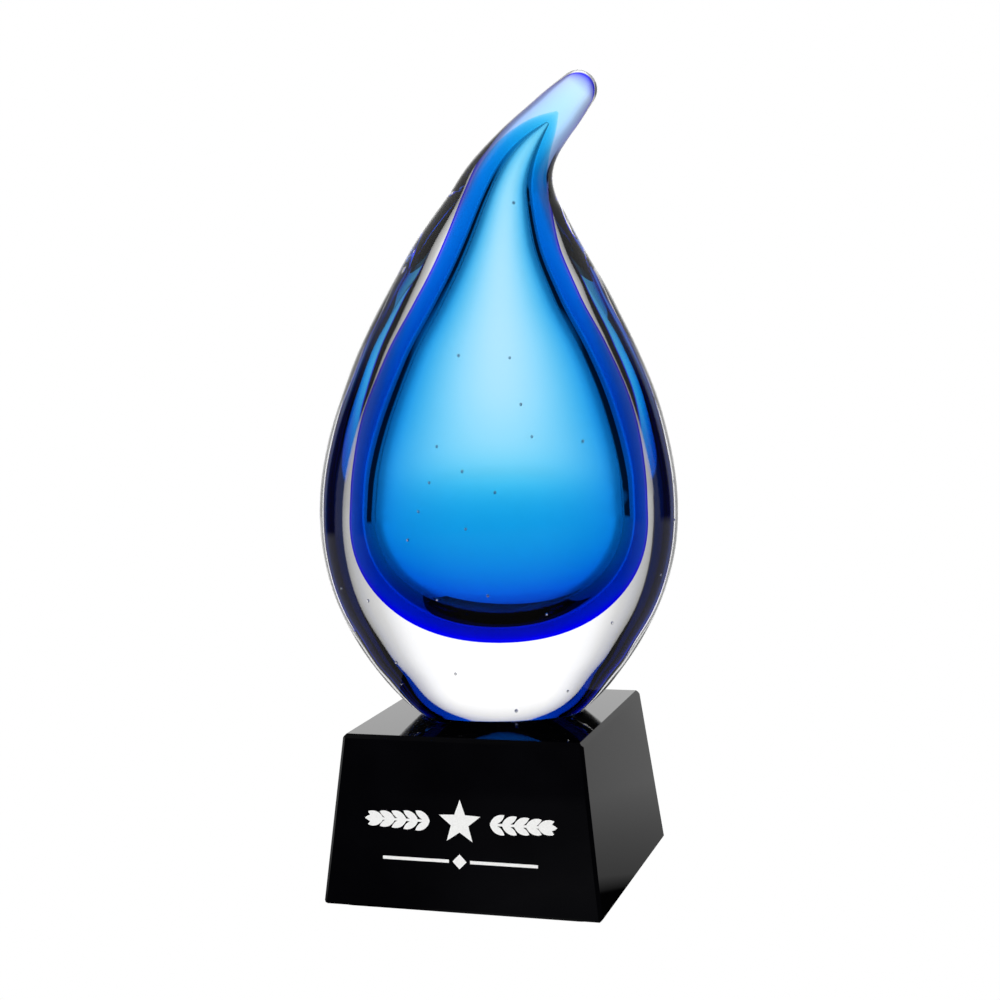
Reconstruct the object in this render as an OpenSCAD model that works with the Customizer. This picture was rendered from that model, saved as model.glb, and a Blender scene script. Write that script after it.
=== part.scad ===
// Flame award: a blown art-glass flame with a blue heart, bonded to a black crystal base.
// Millimetres, +Z up, front towards -Y, origin on the table under the middle of the base.

/* [Base] */
// Width of the base at its underside
base_bottom_w = 83; // [70:1:100]
// Width of the base at its top face
base_top_w = 71.5; // [60:0.5:83]
// Height of the base's top face above the table
base_top_z = 50; // [40:1:60]
// Width of the polished bevel on every edge of the base
edge_bevel = 1; // [0.5:0.1:2]

/* [Felt] */
// Width of the felt sheet under the base
felt_w = 76; // [60:1:80]
// Thickness of the felt sheet
felt_t = 1; // [0.5:0.1:2]
// Radius of the felt sheet's corners
felt_r = 4; // [1:0.5:10]

/* [Flame] */
// Turn of the flame on its base, about the vertical
flame_turn = 17; // [0:1:30]
// Thickness of the clear adhesive film under the flame
bond_t = 0.2; // [0.1:0.05:0.5]
// Thickness of the cobalt layer at the flame's sides
cobalt_side_t = 1; // [0.8:0.1:2.5]
// Thickness of the cobalt layer at the flame's front and back
cobalt_face_t = 0.2; // [0.1:0.05:0.6]

/* [Ornament] */
// Depth of the engraving in the base's front face
engraving_depth = 0.4; // [0.2:0.1:1]
// Radius of the star, point to centre
star_r = 6.5; // [4:0.5:9]
// Leaves on each laurel sprig, along one side of its stem
leaves_per_side = 5; // [3:1:6]
// Length of one laurel leaf
leaf_l = 5; // [3:0.5:7]
// Length of the rule under the sprigs
rule_l = 44; // [30:1:56]

/* [Hidden] */
$fn = 48;
black = [0.02, 0.02, 0.03];
white = [0.95, 0.95, 0.93];
clear = [0.86, 0.9, 0.9, 0.35];

// Base, worked out from its widths
base_h = base_top_z - felt_t;
base_lean = atan((base_bottom_w - base_top_w) / 2 / base_h);
corner_lean = atan(sqrt(2) * tan(base_lean));
base_mid_z = felt_t + base_h / 2;
base_mid_w = (base_bottom_w + base_top_w) / 2;
cutter = 2 * base_bottom_w;

// Flame: [height, x of the centre line], from the foot to the tip
foot_z = base_top_z + bond_t;
spine = [
    [foot_z, 1.3], [84, 1.8], [108, 2.4], [138, 3.5], [155, 4], [171, 4.7], [186, 5.7],
    [202, 7.9], [208, 9.6], [213.3, 12.1], [218.5, 15.7], [223.5, 20.3], [228, 24.7], [232.8, 29.4]
];
// Each glass surface: [height on the centre line, half width, half depth]
casing_form = [
    [foot_z, 24.7, 15.5], [56, 31, 19.5], [63, 36.8, 23], [72, 42.8, 27], [84, 48.7, 31],
    [96, 52.1, 33.2], [108, 53.35, 34], [122, 52.5, 33.6], [138, 48.9, 31.6], [155, 42.7, 28],
    [171, 34.9, 23.5], [186, 26.5, 18.8], [202, 16.5, 13.6], [208, 13.3, 11.9], [213.3, 10.6, 10.2],
    [218.5, 8.8, 8.8], [223.5, 7.6, 7.6], [228, 6.9, 6.9], [232.8, 5.7, 5.7]
];
heart_form = [
    [108, 38.2, 19.6], [122, 37.4, 19.4], [138, 34.5, 17.6], [155, 28.2, 14.8], [171, 20.5, 12.2],
    [186, 14.3, 10], [202, 9.6, 8.2], [208, 8.1, 7.5], [213.3, 7, 6.9], [218.5, 6.4, 6.3],
    [223.5, 5.8, 5.7], [228, 5.4, 5.3], [232.2, 4.6, 4.6]
];
azure_form = [
    [108, 36.9, 18.9], [122, 36.1, 18], [138, 33.1, 15.6], [155, 26.8, 12.5], [171, 19.1, 9.6],
    [186, 12.9, 7.3], [202, 8.1, 5.6], [208, 6.3, 4.9], [214, 4.4, 3.9], [219, 2.9, 2.8],
    [223, 1.6, 1.6], [226, 0.4, 0.4]
];
bubble_form = [
    [110, 34.9, 15.4], [123, 34, 16], [138, 30.3, 14.6], [155, 23.9, 11.8], [171, 16.1, 9],
    [186, 10, 6.6], [202, 5.6, 4.6], [208, 4.2, 3.8], [214, 2.8, 2.6], [219, 1.6, 1.6],
    [223, 0.4, 0.4]
];
// Rounded ends: [height of the dome under a form, height of the dome over it]
casing_ends = [0, 5.7];
heart_ends = [32, 4.8];
azure_ends = [31.1, 0.4];
bubble_ends = [30, 0.3];
dome_power = 2.15;
// The clear gather lies inside the cobalt layer, a wall's thickness in from the heart's surface
gather_form = [
    for (s = heart_form)
        [s[0], s[1] - min(cobalt_side_t, s[1] / 5), s[2] - min(cobalt_face_t, s[2] / 10)]
];
gather_ends = [heart_ends[0] - cobalt_side_t / 2, heart_ends[1] - cobalt_face_t];

// Value of a smooth curve through points [height, ...] at height z
function slope_at(p, i) =
    let (a = max(i - 1, 0), b = min(i + 1, len(p) - 1)) (p[b] - p[a]) / (p[b][0] - p[a][0]);
function span_of(p, z, i = 0) = i >= len(p) - 2 || z < p[i + 1][0] ? i : span_of(p, z, i + 1);
function curve_at(p, z) =
    let (i = span_of(p, z), h = p[i + 1][0] - p[i][0], f = (z - p[i][0]) / h, g = 1 - f)
    (1 + 2 * f) * g * g * p[i] + f * g * g * h * slope_at(p, i)
    + f * f * (3 - 2 * f) * p[i + 1] - f * f * g * h * slope_at(p, i + 1);

// A ring is [x, z, half width, half depth, lean of the centre line]
lean_step = 0.5;
function lean_at(z) =
    let (
        low = max(z - lean_step, foot_z), high = min(z + lean_step, spine[len(spine) - 1][0]),
        run = curve_at(spine, high)[1] - curve_at(spine, low)[1]
    ) atan2(run, high - low);
function ring_at(form, z) =
    let (s = curve_at(form, z)) [curve_at(spine, z)[1], z, s[1], s[2], lean_at(z)];
function dome_ring(ring, rise, turn) =
    let (
        out = rise * sin(turn), shrink = pow(1 - pow(sin(abs(turn)), dome_power), 1 / dome_power)
    )
    [
        ring[0] + out * sin(ring[4]), ring[1] + out * cos(ring[4]),
        ring[2] * shrink, ring[3] * shrink, ring[4]
    ];
function rings_of(form, ends, count, dome) =
    let (
        z0 = form[0][0], z1 = form[len(form) - 1][0],
        first = ring_at(form, z0), last = ring_at(form, z1)
    )
    concat(
        ends[0] > 0 ? [for (k = [dome - 1 : -1 : 1]) dome_ring(first, ends[0], -90 * k / dome)] : [],
        [for (k = [0 : count]) ring_at(form, z0 + (z1 - z0) * k / count)],
        [for (k = [1 : dome - 1]) dome_ring(last, ends[1], 90 * k / dome)]
    );
function ring_point(r, turn) = [
    r[0] + r[2] * cos(turn) * cos(r[4]), r[3] * sin(turn), r[1] - r[2] * cos(turn) * sin(r[4])
];
function pole(ring, rise) = [ring[0] + rise * sin(ring[4]), 0, ring[1] + rise * cos(ring[4])];

// One closed glass surface, lofted through its rings, with a pole at each end
module glass_form(form, ends, mesh) {
    rings = rings_of(form, ends, mesh[0], mesh[1]);
    sides = mesh[2];
    n = len(rings);
    points = concat(
        [for (r = rings) for (j = [0 : sides - 1]) ring_point(r, 360 * j / sides)],
        [
            pole(ring_at(form, form[0][0]), -ends[0]),
            pole(ring_at(form, form[len(form) - 1][0]), ends[1])
        ]
    );
    walls = [
        for (k = [0 : n - 2]) for (j = [0 : sides - 1])
            let (a = k * sides + j, b = k * sides + (j + 1) % sides)
                [a, a + sides, b + sides, b]
    ];
    caps = [
        for (j = [0 : sides - 1]) let (next = (j + 1) % sides, top = (n - 1) * sides)
            each [[n * sides, j, next], [n * sides + 1, top + next, top + j]]
    ];
    translate([spine[0][1], 0, 0]) rotate([0, 0, flame_turn]) translate([-spine[0][1], 0, 0])
        polyhedron(points, concat(walls, caps), convexity = 4);
}

// Rings along each surface, rings in each of its domes, and sides of a ring
casing_mesh = [30, 5, 32];
inner_mesh = [18, 7, 26];
module casing_surface() { glass_form(casing_form, casing_ends, casing_mesh); }
module heart_surface() { glass_form(heart_form, heart_ends, inner_mesh); }
module gather_surface() { glass_form(gather_form, gather_ends, inner_mesh); }
module azure_surface() { glass_form(azure_form, azure_ends, inner_mesh); }
module bubble_surface() { glass_form(bubble_form, bubble_ends, inner_mesh); }

module clear_casing() {
    color(clear) difference() {
        casing_surface();
        heart_surface();
    }
}

module cobalt_layer() {
    color([0.05, 0.04, 0.85, 0.6]) difference() {
        heart_surface();
        gather_surface();
    }
}

module clear_gather() {
    color([0.7, 0.88, 0.98, 0.5]) difference() {
        gather_surface();
        azure_surface();
    }
}

module azure_layer() {
    color([0, 0.5, 0.9, 0.7]) difference() {
        azure_surface();
        bubble_surface();
    }
}

module bond_film() {
    color(clear) translate([spine[0][1], 0, base_top_z]) rotate([0, 0, flame_turn])
        linear_extrude(bond_t) scale([1, casing_form[0][2] / casing_form[0][1]])
            circle(casing_form[0][1] - 0.3);
}

// Removes what lies beyond a point, in the direction given by its rise above the level and its turn
module cut_beyond(point, rise, turn) {
    translate(point) rotate([0, 90 - rise, turn]) translate([-cutter / 2, -cutter / 2, 0]) cube(cutter);
}

module base_shape() {
    difference() {
        translate([-base_bottom_w / 2, -base_bottom_w / 2, felt_t])
            cube([base_bottom_w, base_bottom_w, base_h]);
        for (turn = [0 : 90 : 270]) rotate([0, 0, turn]) {
            cut_beyond([base_top_w / 2, 0, base_top_z], base_lean, 0);
            cut_beyond([base_top_w / 2 - edge_bevel, 0, base_top_z], 45, 0);
            cut_beyond([base_bottom_w / 2 - edge_bevel, 0, felt_t], -45, 0);
            cut_beyond(
                [base_top_w / 2 - edge_bevel / 2, base_top_w / 2 - edge_bevel / 2, base_top_z],
                corner_lean, 45
            );
        }
    }
}

// Carries a drawing to the sloping front face, x to the right and y up it
module on_front(depth) {
    translate([0, -base_mid_w / 2, base_mid_z]) rotate([90 - base_lean, 0, 0])
        translate([0, 0, -depth]) linear_extrude(depth) children();
}

ornament_y = 1;
star_points = 5;
star_waist = 0.42;
sprig_start = 9;
leaf_pitch = 3.5;
leaf_lift = 32;
leaf_bow = 0.72;
stem_w = 0.7;
stem_rise = 0.05;
rule_drop = 11;
rule_w = 0.9;
diamond_r = 2.1;

module star_shape() {
    translate([0, ornament_y]) polygon([
        for (k = [0 : 2 * star_points - 1])
            let (r = k % 2 == 0 ? star_r : star_r * star_waist, a = 90 + 180 * k / star_points)
            [r * cos(a), r * sin(a)]
    ]);
}

// A pointed leaf: the overlap of two circles, its base at the origin and its tip along +x
module leaf() {
    round = leaf_l * leaf_bow;
    rise = sqrt(round * round - leaf_l * leaf_l / 4);
    intersection() {
        translate([leaf_l / 2, rise]) circle(round);
        translate([leaf_l / 2, -rise]) circle(round);
    }
}

module sprig_shape() {
    translate([sprig_start, ornament_y]) {
        translate([0, -stem_w / 2]) square([leaf_pitch * (leaves_per_side - 1) + 1, stem_w]);
        for (k = [0 : leaves_per_side - 1]) for (side = [-1, 1])
            translate([k * leaf_pitch, side * stem_w * 0.2]) rotate(side * (leaf_lift - 3 * k)) leaf();
        translate([leaf_pitch * (leaves_per_side - 1) + 0.6, 0]) leaf();
    }
}

module rule_shape() {
    translate([0, ornament_y - rule_drop]) {
        rotate(45) square(diamond_r * sqrt(2), center = true);
        for (side = [-1, 1]) translate([side * (rule_l / 4 + diamond_r), 0])
            square([rule_l / 2 - diamond_r, rule_w], center = true);
    }
}

module star_infill() { color(white) on_front(engraving_depth) star_shape(); }
module laurel_right_infill() { color(white) on_front(engraving_depth) sprig_shape(); }
module laurel_left_infill() { color(white) on_front(engraving_depth) mirror([1, 0]) sprig_shape(); }
module rule_infill() { color(white) on_front(engraving_depth) rule_shape(); }

module base_block() {
    color(black) difference() {
        base_shape();
        on_front(engraving_depth) star_shape();
        on_front(engraving_depth) sprig_shape();
        on_front(engraving_depth) mirror([1, 0]) sprig_shape();
        on_front(engraving_depth) rule_shape();
    }
}

module felt_sheet() {
    color([0.1, 0.1, 0.1]) linear_extrude(felt_t) union() {
        square([felt_w, felt_w - 2 * felt_r], center = true);
        square([felt_w - 2 * felt_r, felt_w], center = true);
        for (x = [-1, 1]) for (y = [-1, 1])
            translate([x, y] * (felt_w / 2 - felt_r)) circle(felt_r);
    }
}

base_block();
star_infill();
laurel_left_infill();
laurel_right_infill();
rule_infill();
felt_sheet();
bond_film();
clear_casing();
cobalt_layer();
clear_gather();
azure_layer();
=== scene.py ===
import math

import bpy
from mathutils import Matrix, Vector


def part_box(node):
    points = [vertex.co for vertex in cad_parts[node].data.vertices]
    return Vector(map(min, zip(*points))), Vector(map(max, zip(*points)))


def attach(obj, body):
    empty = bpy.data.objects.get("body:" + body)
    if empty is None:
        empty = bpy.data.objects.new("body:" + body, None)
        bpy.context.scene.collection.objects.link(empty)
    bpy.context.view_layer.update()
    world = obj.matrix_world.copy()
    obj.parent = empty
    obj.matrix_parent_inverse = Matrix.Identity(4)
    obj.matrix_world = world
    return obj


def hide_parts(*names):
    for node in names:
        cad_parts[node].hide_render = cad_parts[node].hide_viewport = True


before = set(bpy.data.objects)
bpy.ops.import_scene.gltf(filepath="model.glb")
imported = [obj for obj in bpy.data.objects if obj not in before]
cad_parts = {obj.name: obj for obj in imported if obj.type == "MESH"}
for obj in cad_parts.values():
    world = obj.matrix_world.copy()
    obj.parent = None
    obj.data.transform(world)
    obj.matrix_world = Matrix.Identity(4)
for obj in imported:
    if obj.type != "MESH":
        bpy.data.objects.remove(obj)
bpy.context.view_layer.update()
mm = 0.001
glassBend = 1.5  # refractive index of the clear glass
innerBend = 1.0  # the layers inside it only tint the light, so they don't bend it again

# the flame's sizes are in millimetres, with its width along X before it is turned
# each line of a form is [height, half width, half depth], each line of the spine [height, x]
flame = {
    "turn": 17.0,  # degrees about the foot, so the flame faces the viewer
    "foot": 50.2,
    "spine": [
        [50.2, 1.3], [84, 1.8], [108, 2.4], [138, 3.5], [155, 4], [171, 4.7], [186, 5.7],
        [202, 7.9], [208, 9.6], [213.3, 12.1], [218.5, 15.7], [223.5, 20.3], [228, 24.7],
        [232.8, 29.4],
    ],
    "leanStep": 0.5,
    "lowDome": 2.15,  # roundness of the domes: 2 is an ellipse, more is fuller
    "highDome": 2.0,
}


def slopeAt(points, i):
    a = max(i - 1, 0)
    b = min(i + 1, len(points) - 1)
    rise = points[b][0] - points[a][0]
    return [(q - p) / rise for p, q in zip(points[a], points[b])]


# smooth curve through points [height, ...], at height z
def curveAt(points, z):
    i = 0
    while i < len(points) - 2 and z >= points[i + 1][0]:
        i += 1
    span = points[i + 1][0] - points[i][0]
    f = (z - points[i][0]) / span
    g = 1 - f
    weights = (
        (1 + 2 * f) * g * g, f * g * g * span,
        f * f * (3 - 2 * f), -f * f * g * span,
    )
    ends = (points[i], slopeAt(points, i), points[i + 1], slopeAt(points, i + 1))
    return [sum(w * e[k] for w, e in zip(weights, ends)) for k in range(len(points[i]))]


def leanAt(z):
    low = max(z - flame["leanStep"], flame["foot"])
    high = min(z + flame["leanStep"], flame["spine"][-1][0])
    run = curveAt(flame["spine"], high)[1] - curveAt(flame["spine"], low)[1]
    return math.atan2(run, high - low)


# a ring is (x, z, half width, half depth, lean)
def ringAt(form, z, grow):
    size = curveAt(form["sizes"], z)
    return (curveAt(flame["spine"], z)[1], z, size[1] + grow, size[2] + grow, leanAt(z))


def domeRing(ring, rise, turn, power):
    out = rise * math.sin(turn)
    shrink = (1 - abs(math.sin(turn)) ** power) ** (1 / power)
    x, z, width, depth, lean = ring
    return (x + out * math.sin(lean), z + out * math.cos(lean), width * shrink, depth * shrink, lean)


def ringsOf(form, grow):
    low = form["sizes"][0][0]
    high = form["sizes"][-1][0]
    first = ringAt(form, low, grow)
    last = ringAt(form, high, grow)
    count = form["rings"]
    dome = form["domeRings"]
    quarter = math.pi / 2
    rings = []
    if form["ends"][0]:
        for k in range(dome - 1, 0, -1):
            rings.append(domeRing(first, form["ends"][0] + grow, -quarter * k / dome, flame["lowDome"]))
    for k in range(count + 1):
        rings.append(ringAt(form, low + (high - low) * k / count, grow))
    for k in range(1, dome):
        rings.append(domeRing(last, form["ends"][1] + grow, quarter * k / dome, flame["highDome"]))
    return rings


# moves and tilts act in the edit mesh about the ring's own centre
def tiltRing(angle, centre):
    bpy.ops.transform.rotate(value=-angle, orient_axis="Y", center_override=centre)


def pullPole(ring, rise):
    bpy.ops.mesh.extrude_edges_move()
    bpy.ops.mesh.merge(type="CENTER")
    x, z, width, depth, lean = ring
    bpy.ops.transform.translate(value=(rise * math.sin(lean) * mm, 0, rise * math.cos(lean) * mm))


# one closed glass skin: a circle extruded ring by ring up the flame, both poles closed
def growSkin(name, form, grow=0.0, inward=False):
    rings = ringsOf(form, grow)
    bpy.ops.object.select_all(action="DESELECT")
    x, z, width, depth, lean = rings[0]
    centre = (x * mm, 0, z * mm)
    bpy.ops.mesh.primitive_circle_add(
        vertices=form["sides"], radius=width * mm, fill_type="NOTHING", location=centre)
    skin = bpy.context.object
    skin.name = name
    bpy.ops.object.mode_set(mode="EDIT")
    bpy.ops.transform.resize(value=(1, depth / width, 1), center_override=centre)
    tiltRing(lean, centre)
    for ring in rings[1:]:
        bpy.ops.mesh.extrude_edges_move()
        tiltRing(-lean, centre)
        bpy.ops.transform.resize(value=(ring[2] / width, ring[3] / depth, 1), center_override=centre)
        bpy.ops.transform.translate(value=((ring[0] - x) * mm, 0, (ring[1] - z) * mm))
        x, z, width, depth, lean = ring
        centre = (x * mm, 0, z * mm)
        tiltRing(lean, centre)
    last = ringAt(form, form["sizes"][-1][0], grow)
    gap = form["ends"][1] + grow - math.hypot(x - last[0], z - last[1])
    pullPole(rings[-1], gap)
    bpy.ops.mesh.select_all(action="DESELECT")
    bpy.ops.mesh.select_non_manifold()
    if form["ends"][0]:
        first = ringAt(form, form["sizes"][0][0], grow)
        gap = form["ends"][0] + grow - math.hypot(rings[0][0] - first[0], rings[0][1] - first[1])
        pullPole(rings[0], -gap)
    else:
        bpy.ops.mesh.edge_face_add()  # the flat foot, held sharp by two narrow insets
        for inset in form["footInsets"]:
            bpy.ops.mesh.inset(thickness=inset * mm)
    bpy.ops.mesh.select_all(action="SELECT")
    bpy.ops.mesh.normals_make_consistent(inside=inward)
    bpy.ops.transform.rotate(
        value=-math.radians(flame["turn"]), orient_axis="Z",
        center_override=(flame["spine"][0][1] * mm, 0, 0))
    bpy.ops.object.mode_set(mode="OBJECT")
    bpy.ops.object.transform_apply(location=True, rotation=True, scale=True)
    bpy.ops.object.modifier_add(type="SUBSURF")
    skin.modifiers[-1].levels = form["smoothing"]
    skin.modifiers[-1].render_levels = form["smoothing"]
    bpy.ops.object.modifier_apply(modifier=skin.modifiers[-1].name)
    bpy.ops.object.shade_smooth()
    return skin


def joinSkins(name, skins):
    bpy.ops.object.select_all(action="DESELECT")
    for skin in skins:
        skin.select_set(True)
    bpy.context.view_layer.objects.active = skins[0]
    if len(skins) > 1:
        bpy.ops.object.join()
    piece = bpy.context.view_layer.objects.active
    piece.name = name
    return piece


def finishPiece(piece, material, slot, *nodes):
    piece.data.materials.clear()
    piece.data.materials.append(material)
    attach(piece, "root")
    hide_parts(*nodes)
    print("made", piece.name, len(piece.data.polygons), "faces")


def newMaterial(name):
    material = bpy.data.materials.new(name)
    material.use_nodes = True
    return material, material.node_tree, material.node_tree.nodes["Principled BSDF"]


def noiseOn(tree, scale, detail):
    place = tree.nodes.new("ShaderNodeTexCoord")
    noise = tree.nodes.new("ShaderNodeTexNoise")
    noise.inputs["Scale"].default_value = scale
    noise.inputs["Detail"].default_value = detail
    tree.links.new(place.outputs["Object"], noise.inputs["Vector"])
    return noise.outputs["Fac"]


def rangeOf(tree, value, low, high):
    span = tree.nodes.new("ShaderNodeMapRange")
    tree.links.new(value, span.inputs["Value"])
    span.inputs["To Min"].default_value = low
    span.inputs["To Max"].default_value = high
    return span.outputs["Result"]


def bumpOn(tree, shader, value, height, strength):
    bump = tree.nodes.new("ShaderNodeBump")
    bump.inputs["Distance"].default_value = height
    bump.inputs["Strength"].default_value = strength
    tree.links.new(value, bump.inputs["Height"])
    tree.links.new(bump.outputs["Normal"], shader.inputs["Normal"])


# blends two close colours over the middle of a noise's range
def colourBetween(tree, value, dark, light, shader):
    ramp = tree.nodes.new("ShaderNodeValToRGB")
    for stop, place, colour in zip(ramp.color_ramp.elements, (0.3, 0.7), (dark, light)):
        stop.position = place
        stop.color = (*colour, 1)
    tree.links.new(value, ramp.inputs["Fac"])
    tree.links.new(ramp.outputs["Color"], shader.inputs["Base Color"])


# clear glass, which also absorbs light on its way through when it has a colour
def glassMaterial(name, bend, colour=None, density=0.0):
    material, tree, shader = newMaterial(name)
    shader.inputs["Base Color"].default_value = (1, 1, 1, 1)
    shader.inputs["Transmission Weight"].default_value = 1.0
    shader.inputs["Roughness"].default_value = 0.0
    shader.inputs["IOR"].default_value = bend
    if colour:
        absorb = tree.nodes.new("ShaderNodeVolumeAbsorption")
        absorb.inputs["Color"].default_value = (*colour, 1)
        absorb.inputs["Density"].default_value = density
        tree.links.new(absorb.outputs["Volume"], tree.nodes["Material Output"].inputs["Volume"])
    return material


# clear casing, with the sealed bubble in its middle and fine seeds
casing = {
    "sizes": [
        [50.2, 24.7, 15.5], [56, 31, 19.5], [63, 36.8, 23], [72, 42.8, 27], [84, 48.7, 31],
        [96, 52.1, 33.2], [108, 53.35, 34], [122, 52.5, 33.6], [138, 48.9, 31.6],
        [155, 42.7, 28], [171, 34.9, 23.5], [186, 26.5, 18.8], [202, 16.5, 13.6],
        [208, 13.3, 11.9], [213.3, 10.6, 10.2], [218.5, 8.8, 8.8], [223.5, 7.6, 7.6],
        [228, 6.9, 6.9], [232.8, 5.7, 5.7],
    ],
    "ends": [0, 5.7], "rings": 72, "domeRings": 8, "sides": 72, "smoothing": 1,
    "footInsets": [0.25, 1.5],
}
bubble = {
    "sizes": [
        [110, 34.9, 15.4], [123, 34, 16], [138, 30.3, 14.6], [155, 23.9, 11.8],
        [171, 16.1, 9], [186, 10, 6.6], [202, 5.6, 4.6], [208, 4.2, 3.8],
        [214, 2.8, 2.6], [219, 1.6, 1.6], [223, 0.4, 0.4],
    ],
    "ends": [30, 0.3], "rings": 56, "domeRings": 14, "sides": 64, "smoothing": 1,
}

# outside of the coloured heart; most seeds lie between it and the casing's front
heart = {
    "sizes": [
        [108, 38.2, 19.6], [122, 37.4, 19.4], [138, 34.5, 17.6], [155, 28.2, 14.8],
        [171, 20.5, 12.2], [186, 14.3, 10], [202, 9.6, 8.2], [208, 8.1, 7.5],
        [213.3, 7, 6.9], [218.5, 6.0, 6.0], [223.5, 5.2, 5.2], [228, 4.5, 4.5],
        [232.2, 3.6, 3.6],
    ],
    "ends": [32, 4.2], "rings": 60, "domeRings": 14, "sides": 64, "smoothing": 1,
}

# seeds: [across, height, radius], across is along the flame's own width
seeds = {
    "spots": [
        [-17, 132, 0.34], [-10, 125, 0.38], [-19, 122, 0.34], [-1, 119, 0.38], [-22, 114, 0.34],
        [9, 134, 0.34], [23, 132, 0.38], [-25, 106, 0.38], [-9, 109, 0.34], [6, 143, 0.38],
        [-11, 157, 0.38], [3, 156, 0.34], [2, 200, 0.38], [-43, 91, 0.38], [-40, 79, 0.34],
        [-44, 76, 0.38], [-28, 70, 0.38], [-27, 63, 0.42], [4, 55, 0.46], [30, 80, 0.38],
        [36, 67, 0.42], [44, 92, 0.34], [49, 118, 0.34], [49, 107, 0.34], [-17, 89, 0.34],
        [13, 84, 0.34], [-3, 90, 0.38], [18, 60, 0.34], [-12, 67, 0.38], [-35, 88, 0.38],
    ],
    "depthShare": 0.55,  # how far out each seed lies, from the heart to the casing's front
    "clearShare": 0.3,  # the same beside the heart, from the flame's middle
    "stretch": 1.25,
    "subdivisions": 2,
}


def halfDepthAt(form, across, z):
    if z < form["sizes"][0][0]:
        ring = domeShape(form, z)
    elif z > form["sizes"][-1][0]:
        return 0.0
    else:
        ring = curveAt(form["sizes"], z)[1:]
    width, depth = ring
    if abs(across) >= width:
        return 0.0
    return depth * math.sqrt(1 - (across / width) ** 2)


def domeShape(form, z):
    below = form["sizes"][0][0] - z
    if form["ends"][0] <= below:
        return 0.0, 0.0
    power = flame["lowDome"]
    shrink = (1 - (below / form["ends"][0]) ** power) ** (1 / power)
    return form["sizes"][0][1] * shrink, form["sizes"][0][2] * shrink


def addSeed(across, z, radius):
    near = halfDepthAt(heart, across, z)
    far = halfDepthAt(casing, across, z)
    forward = near + (far - near) * seeds["depthShare"] if near else far * seeds["clearShare"]
    turn = math.radians(flame["turn"])
    foot = flame["spine"][0][1]
    along = curveAt(flame["spine"], z)[1] - foot + across
    place = (
        (foot + along * math.cos(turn) + forward * math.sin(turn)) * mm,
        (along * math.sin(turn) - forward * math.cos(turn)) * mm,
        z * mm,
    )
    bpy.ops.object.select_all(action="DESELECT")
    bpy.ops.mesh.primitive_ico_sphere_add(
        subdivisions=seeds["subdivisions"], radius=radius * mm, location=place)
    seed = bpy.context.object
    bpy.ops.object.mode_set(mode="EDIT")
    bpy.ops.transform.resize(value=(1, 1, seeds["stretch"]), center_override=place)
    bpy.ops.mesh.flip_normals()
    bpy.ops.object.mode_set(mode="OBJECT")
    bpy.ops.object.transform_apply(location=True, rotation=True, scale=True)
    bpy.ops.object.shade_smooth()
    return seed


clearGlass = glassMaterial("clearGlass", glassBend)
skins = [growSkin("casingSkin", casing), growSkin("bubbleSkin", bubble, inward=True)]
for across, height, radius in seeds["spots"]:
    skins.append(addSeed(across, height, radius))
flameCasing = joinSkins("flameCasing", skins)
finishPiece(flameCasing, clearGlass, "clear_glass", "clear_casing")

# cobalt layer: a thin skin of dark blue round the heart
cobalt = {
    "side": 0.22, "face": 0.03, "foot": 0.8, "top": 0.35,  # wall thicknesses
    "sideShare": 40, "faceShare": 10,  # nor thicker than the heart's half size divided by this
    "colour": (0.0, 0.0, 0.98), "density": 1500,
}

# the gather fills the heart, a cobalt wall's thickness in from its surface
gatherForm = dict(heart)
gatherForm["sizes"] = [
    [z, w - min(cobalt["side"], w / cobalt["sideShare"]),
     d - min(cobalt["face"], d / cobalt["faceShare"])]
    for z, w, d in heart["sizes"]
]
gatherForm["ends"] = [heart["ends"][0] - cobalt["foot"], heart["ends"][1] - cobalt["top"]]

cobaltMaterial = glassMaterial("cobaltGlass", innerBend, cobalt["colour"], cobalt["density"])
cobaltLayer = joinSkins("cobaltLayer", [
    growSkin("heartSkin", heart), growSkin("cobaltInside", gatherForm, inward=True)])
finishPiece(cobaltLayer, cobaltMaterial, "cobalt_glass", "cobalt_layer")

# gather: clear glass with a faint tint, from the cobalt in to the azure
azure = {
    "sizes": [
        [108, 37.7, 18.1], [122, 36.9, 16.95], [138, 34.0, 14.98], [155, 27.7, 12.06],
        [171, 20.0, 9.25], [186, 13.8, 6.88], [202, 9.1, 5.0], [208, 7.5, 4.3],
        [214, 5.8, 3.2], [219, 4.0, 2.3], [223, 2.4, 1.4], [226, 0.5, 0.5],
    ],
    "ends": [31.1, 0.5], "rings": 58, "domeRings": 14, "sides": 64, "smoothing": 1,
}
gather = {"gap": 0.03, "colour": (0.0, 0.75, 1.0), "density": 75}
gatherMaterial = glassMaterial("gatherGlass", innerBend, gather["colour"], gather["density"])
gatherFill = joinSkins("gatherFill", [
    growSkin("gatherSkin", gatherForm, -gather["gap"]),
    growSkin("gatherInside", azure, gather["gap"], inward=True)])
finishPiece(gatherFill, gatherMaterial, "gather_glass", "clear_gather")

# azure layer, from the gather in to the bubble
azureGlass = {"gap": 0.03, "colour": (0.0, 0.79, 0.935), "density": 900}
azureMaterial = glassMaterial("azureGlass", innerBend, azureGlass["colour"], azureGlass["density"])
azureLayer = joinSkins("azureLayer", [
    growSkin("azureSkin", azure), growSkin("azureInside", bubble, azureGlass["gap"], inward=True)])
finishPiece(azureLayer, azureMaterial, "azure_glass", "azure_layer")

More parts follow.
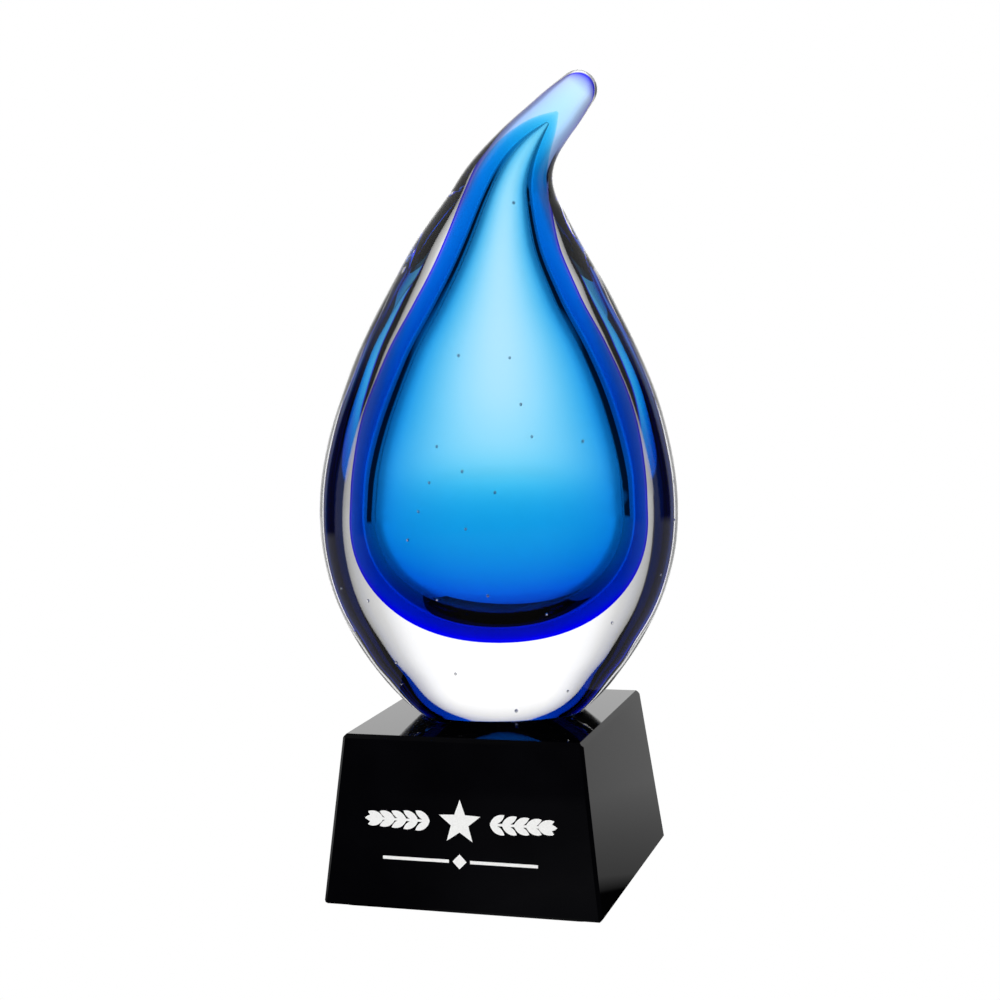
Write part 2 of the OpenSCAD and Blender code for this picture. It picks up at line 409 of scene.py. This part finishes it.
# adhesive film, a hair clear of the foot and of the base
film = {"inset": 0.35, "clear": 0.04, "sides": 96, "roughness": 0.03}
footWidth, footDepth = casing["sizes"][0][1:]
filmLow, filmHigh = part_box("bond_film")
bpy.ops.object.select_all(action="DESELECT")
filmPlace = (flame["spine"][0][1] * mm, 0, filmLow.z + film["clear"] * mm)
bpy.ops.mesh.primitive_circle_add(
    vertices=film["sides"], radius=(footWidth - film["inset"]) * mm, fill_type="NGON",
    location=filmPlace)
bondFilm = bpy.context.object
bondFilm.name = "bondFilm"
bpy.ops.object.mode_set(mode="EDIT")
bpy.ops.transform.resize(value=(1, footDepth / footWidth, 1), center_override=filmPlace)
bpy.ops.transform.rotate(
    value=-math.radians(flame["turn"]), orient_axis="Z", center_override=filmPlace)
bpy.ops.mesh.extrude_region_move(
    TRANSFORM_OT_translate={"value": (0, 0, filmHigh.z - filmLow.z - 2 * film["clear"] * mm)})
bpy.ops.mesh.select_all(action="SELECT")
bpy.ops.mesh.normals_make_consistent(inside=False)
bpy.ops.object.mode_set(mode="OBJECT")
bpy.ops.object.transform_apply(location=True, rotation=True, scale=True)
filmMaterial, tree, filmShader = newMaterial("adhesiveFilm")
filmShader.inputs["Transmission Weight"].default_value = 1.0
filmShader.inputs["Roughness"].default_value = film["roughness"]
filmShader.inputs["IOR"].default_value = glassBend
finishPiece(bondFilm, filmMaterial, "clear_adhesive", "bond_film")

# base, ornament and felt keep the frame's shapes and take these finishes
blackCrystalLook = {
    "smearScale": 60, "smearDetail": 4, "dark": (0.0008, 0.0008, 0.0012),
    "light": (0.0014, 0.0014, 0.002), "polish": (0.012, 0.03), "bend": 1.52,
}
blackCrystal, tree, shader = newMaterial("blackCrystal")
smear = noiseOn(tree, blackCrystalLook["smearScale"], blackCrystalLook["smearDetail"])
colourBetween(tree, smear, blackCrystalLook["dark"], blackCrystalLook["light"], shader)
tree.links.new(rangeOf(tree, smear, *blackCrystalLook["polish"]), shader.inputs["Roughness"])
shader.inputs["IOR"].default_value = blackCrystalLook["bend"]

whitePaintLook = {
    "grainScale": 2600, "grainDetail": 3, "dark": (0.82, 0.82, 0.81),
    "light": (0.93, 0.93, 0.92), "gloss": (0.35, 0.55), "bumpHeight": 0.00005, "bump": 0.6,
}
whitePaint, tree, shader = newMaterial("whitePaint")
grain = noiseOn(tree, whitePaintLook["grainScale"], whitePaintLook["grainDetail"])
colourBetween(tree, grain, whitePaintLook["dark"], whitePaintLook["light"], shader)
tree.links.new(rangeOf(tree, grain, *whitePaintLook["gloss"]), shader.inputs["Roughness"])
bumpOn(tree, shader, grain, whitePaintLook["bumpHeight"], whitePaintLook["bump"])

blackFeltLook = {
    "fibreScale": 1500, "fibreDetail": 8, "dark": (0.006, 0.006, 0.007),
    "light": (0.03, 0.03, 0.032), "roughness": 0.95, "sheen": 0.4,
    "bumpHeight": 0.0004, "bump": 0.9,
}
blackFelt, tree, shader = newMaterial("blackFelt")
fibre = noiseOn(tree, blackFeltLook["fibreScale"], blackFeltLook["fibreDetail"])
colourBetween(tree, fibre, blackFeltLook["dark"], blackFeltLook["light"], shader)
shader.inputs["Roughness"].default_value = blackFeltLook["roughness"]
shader.inputs["Sheen Weight"].default_value = blackFeltLook["sheen"]
bumpOn(tree, shader, fibre, blackFeltLook["bumpHeight"], blackFeltLook["bump"])

for nodeName, material in (
    ("base_block", blackCrystal), ("star_infill", whitePaint),
    ("laurel_left_infill", whitePaint), ("laurel_right_infill", whitePaint),
    ("rule_infill", whitePaint), ("felt_sheet", blackFelt),
):
    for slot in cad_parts[nodeName].material_slots:
        slot.material = material
print("finished the base, ornament and felt")

# studio: bright table and backdrop behind, two dark cards beside it, dark room in front
# each ramp is [position, brightness]; turns are degrees either side of straight behind
# lengths are in metres
studio = {
    "behind": 17.4,  # the whole studio is turned with the camera
    "strength": 1.2,
    "wall": [
        [0, 1.0], [15, 1.0], [22, 0.88], [30, 0.62], [40, 0.48], [50, 0.43], [64, 0.4],
        [95, 0.38], [106, 0.05], [140, 0.05], [150, 0.1], [180, 0.1]],
    "sky": [[0, 0.62], [90, 0.55], [106, 0.1], [180, 0.1]],
    "skyFrom": [[0, 0], [22, 0], [40, 1.0], [90, 1.0]],
    "table": [
        [0, 1.0], [20, 1.0], [26, 0.9], [32, 0.55], [40, 0.42], [95, 0.3],
        [111, 0.24], [116, 0.04], [140, 0.04], [150, 0.4], [162, 0.8], [180, 0.8]],
    "cards": [[0, 1.0], [53, 1.0], [56, 0.07], [75, 0.07], [78, 1.0], [180, 1.0]],
    "cardTurn": 3.0,
    "cardTop": [[0, 0], [16, 0], [26, 1], [90, 1]],
    "paintedShadeNearBase": [[0, 0.5], [0.08, 0.7], [0.15, 1.0], [3, 1.0]],  # painted shadow on the glowing table close to the award
    "tableEnd": [[0, 0], [0.7, 0], [0.85, 1.0], [3, 1.0]],
    "cardFoot": [[0, 0], [0.7, 0], [0.85, 1], [3, 1]],
    # how much of the room shows in reflections: the front of the base stays dark
    "gloss": [[0, 1.0], [22, 1.0], [30, 0.7], [95, 0.7], [115, 0.06], [180, 0.06]],
    "seenWhite": 1.0,
    "tableSize": 10,
    "tableDrop": 0.0002,
    "lampPlace": (-0.1, -1.0, 0.35),
    "lampSize": 0.5,
    "lampPower": 11,
}


def mathOn(tree, kind, value, other=None):
    node = tree.nodes.new("ShaderNodeMath")
    node.operation = kind
    tree.links.new(value, node.inputs[0])
    if other is not None:
        node.inputs[1].default_value = other
    return node.outputs[0]


def greyRamp(tree, value, points):
    span = points[-1][0]
    ramp = tree.nodes.new("ShaderNodeValToRGB")
    tree.links.new(mathOn(tree, "DIVIDE", value, span), ramp.inputs["Fac"])
    stops = ramp.color_ramp.elements
    stops.remove(stops[1])
    for k, (place, grey) in enumerate(points):
        stop = stops[0] if k == 0 else stops.new(place / span)
        stop.position = place / span
        stop.color = (grey, grey, grey, 1)
    return ramp.outputs["Color"]


def mixOf(tree, kind, share, first, second):
    node = tree.nodes.new("ShaderNodeMix")
    node.data_type = "RGBA"
    node.blend_type = kind
    for socket, value in ((node.inputs[0], share), (node.inputs[6], first), (node.inputs[7], second)):
        if isinstance(value, (float, tuple)):
            socket.default_value = value
        else:
            tree.links.new(value, socket)
    return node.outputs[2]


# turn away from straight behind, in degrees, 0 to 180, from a direction's x and y
def turnAway(tree, x, y, offset):
    angle = tree.nodes.new("ShaderNodeMath")
    angle.operation = "ARCTAN2"
    tree.links.new(x, angle.inputs[0])
    tree.links.new(y, angle.inputs[1])
    moved = mathOn(tree, "ADD", angle.outputs[0], math.radians(offset))
    wrap = tree.nodes.new("ShaderNodeMath")
    wrap.operation = "WRAP"
    tree.links.new(moved, wrap.inputs[0])
    wrap.inputs[1].default_value = math.pi
    wrap.inputs[2].default_value = -math.pi
    return mathOn(tree, "DEGREES", mathOn(tree, "ABSOLUTE", wrap.outputs[0]))


white = (1.0, 1.0, 1.0, 1.0)
world = bpy.data.worlds.new("studioWorld")
bpy.context.scene.world = world
world.use_nodes = True
tree = world.node_tree
tree.nodes.clear()
place = tree.nodes.new("ShaderNodeTexCoord")
split = tree.nodes.new("ShaderNodeSeparateXYZ")
tree.links.new(place.outputs["Generated"], split.inputs[0])
east, north, rise = split.outputs
wallTurn = turnAway(tree, east, north, studio["behind"])
cardTurn = turnAway(tree, east, north, studio["behind"] - studio["cardTurn"])
height = mathOn(tree, "DEGREES", mathOn(tree, "ARCSINE", rise))
cards = mixOf(
    tree, "MIX", greyRamp(tree, height, studio["cardTop"]),
    greyRamp(tree, cardTurn, studio["cards"]), white)
light = mixOf(tree, "MULTIPLY", 1.0, greyRamp(tree, wallTurn, studio["wall"]), cards)
light = mixOf(
    tree, "MIX", greyRamp(tree, height, studio["skyFrom"]), light,
    greyRamp(tree, wallTurn, studio["sky"]))
strong = tree.nodes.new("ShaderNodeVectorMath")
strong.operation = "SCALE"
tree.links.new(light, strong.inputs[0])
strong.inputs["Scale"].default_value = studio["strength"]
path = tree.nodes.new("ShaderNodeLightPath")
background = tree.nodes.new("ShaderNodeBackground")
gloss = mixOf(
    tree, "MIX", path.outputs["Is Reflection Ray"], white, greyRamp(tree, wallTurn, studio["gloss"]))
light = mixOf(tree, "MULTIPLY", 1.0, strong.outputs[0], gloss)
seen = mixOf(tree, "MIX", path.outputs["Is Camera Ray"], light, white)
tree.links.new(seen, background.inputs["Color"])
output = tree.nodes.new("ShaderNodeOutputWorld")
tree.links.new(background.outputs[0], output.inputs["Surface"])

bpy.ops.object.select_all(action="DESELECT")
bpy.ops.mesh.primitive_plane_add(
    size=studio["tableSize"], location=(0, 0, -studio["tableDrop"]))
floor = bpy.context.object
floor.name = "studioFloor"
# the table glows instead of being lit: the camera sees plain white, and glass and reflections see
# painted studio light with a painted shadow near the award
table = bpy.data.materials.new("glowingTable")
table.use_nodes = True
tree = table.node_tree
tree.nodes.clear()
geometry = tree.nodes.new("ShaderNodeNewGeometry")
split = tree.nodes.new("ShaderNodeSeparateXYZ")
tree.links.new(geometry.outputs["Position"], split.inputs[0])
reach = tree.nodes.new("ShaderNodeVectorMath")
reach.operation = "LENGTH"
tree.links.new(geometry.outputs["Position"], reach.inputs[0])
away = mathOn(tree, "MINIMUM", reach.outputs["Value"], studio["paintedShadeNearBase"][-1][0])
farTurn = turnAway(tree, split.outputs[0], split.outputs[1], studio["behind"])
footTurn = turnAway(tree, split.outputs[0], split.outputs[1], studio["behind"] - studio["cardTurn"])
# painted shadow: the glowing table is darker close to the award
tableLight = mixOf(
    tree, "MULTIPLY", 1.0, greyRamp(tree, farTurn, studio["table"]),
    greyRamp(tree, away, studio["paintedShadeNearBase"]))
tableLight = mixOf(
    tree, "MIX", greyRamp(tree, away, studio["tableEnd"]), tableLight,
    greyRamp(tree, farTurn, studio["wall"]))
cardLight = mixOf(
    tree, "MIX", greyRamp(tree, away, studio["cardFoot"]), white,
    greyRamp(tree, footTurn, studio["cards"]))
path = tree.nodes.new("ShaderNodeLightPath")
gloss = mixOf(
    tree, "MIX", path.outputs["Is Reflection Ray"], white, greyRamp(tree, farTurn, studio["gloss"]))
tableLight = mixOf(tree, "MULTIPLY", 1.0, tableLight, cardLight)
glow = tree.nodes.new("ShaderNodeEmission")
tree.links.new(mixOf(tree, "MULTIPLY", 1.0, tableLight, gloss), glow.inputs["Color"])
glow.inputs["Strength"].default_value = studio["strength"]
plain = tree.nodes.new("ShaderNodeEmission")
plain.inputs["Color"].default_value = white
plain.inputs["Strength"].default_value = studio["seenWhite"]
choose = tree.nodes.new("ShaderNodeMixShader")
tree.links.new(path.outputs["Is Camera Ray"], choose.inputs[0])
tree.links.new(glow.outputs[0], choose.inputs[1])
tree.links.new(plain.outputs[0], choose.inputs[2])
output = tree.nodes.new("ShaderNodeOutputMaterial")
tree.links.new(choose.outputs[0], output.inputs["Surface"])
floor.data.materials.append(table)

# soft lamp in front for the white paint; glass and polished faces don't see it
lamp = bpy.data.lights.new("frontLamp", "AREA")
lamp.size = studio["lampSize"]
lamp.energy = studio["lampPower"]
frontLamp = bpy.data.objects.new("frontLamp", lamp)
bpy.context.scene.collection.objects.link(frontLamp)
frontLamp.location = studio["lampPlace"]
frontLamp.rotation_euler = Vector(studio["lampPlace"]).to_track_quat("Z", "Y").to_euler()
frontLamp.visible_glossy = False
frontLamp.visible_transmission = False
print("set the studio")

# camera, looking a little down at the award; millimetres and degrees
view = {
    "azimuth": 17.4, "elevation": 6.0, "distance": 530.5, "target": (3.01, 0.0, 113.9),
    "roll": -1.88, "lens": 64.3, "sensor": 36, "clipStart": 10,
}
azimuth = math.radians(view["azimuth"])
elevation = math.radians(view["elevation"])
back = Vector((
    math.sin(azimuth) * math.cos(elevation), -math.cos(azimuth) * math.cos(elevation),
    math.sin(elevation)))
right = Vector((0, 0, 1)).cross(back).normalized()
up = back.cross(right)
place = (Vector(view["target"]) + back * view["distance"]) * mm
cameraData = bpy.data.cameras.new("camera")
cameraData.lens = view["lens"]
cameraData.sensor_width = view["sensor"]
cameraData.clip_start = view["clipStart"] * mm
camera = bpy.data.objects.new("camera", cameraData)
bpy.context.scene.collection.objects.link(camera)
square = Matrix((right, up, back)).transposed().to_4x4()
camera.matrix_world = (
    Matrix.Translation(place) @ square @ Matrix.Rotation(math.radians(view["roll"]), 4, "Z"))
bpy.context.scene.camera = camera

# light through many layers of glass needs many bounces; plain colours keep the blues
bounces = {"all": 24, "glass": 24, "gloss": 12, "clear": 16}
scene = bpy.context.scene
scene.view_settings.view_transform = "Standard"
scene.cycles.max_bounces = bounces["all"]
scene.cycles.transmission_bounces = bounces["glass"]
scene.cycles.glossy_bounces = bounces["gloss"]
scene.cycles.transparent_max_bounces = bounces["clear"]
print("set the camera")
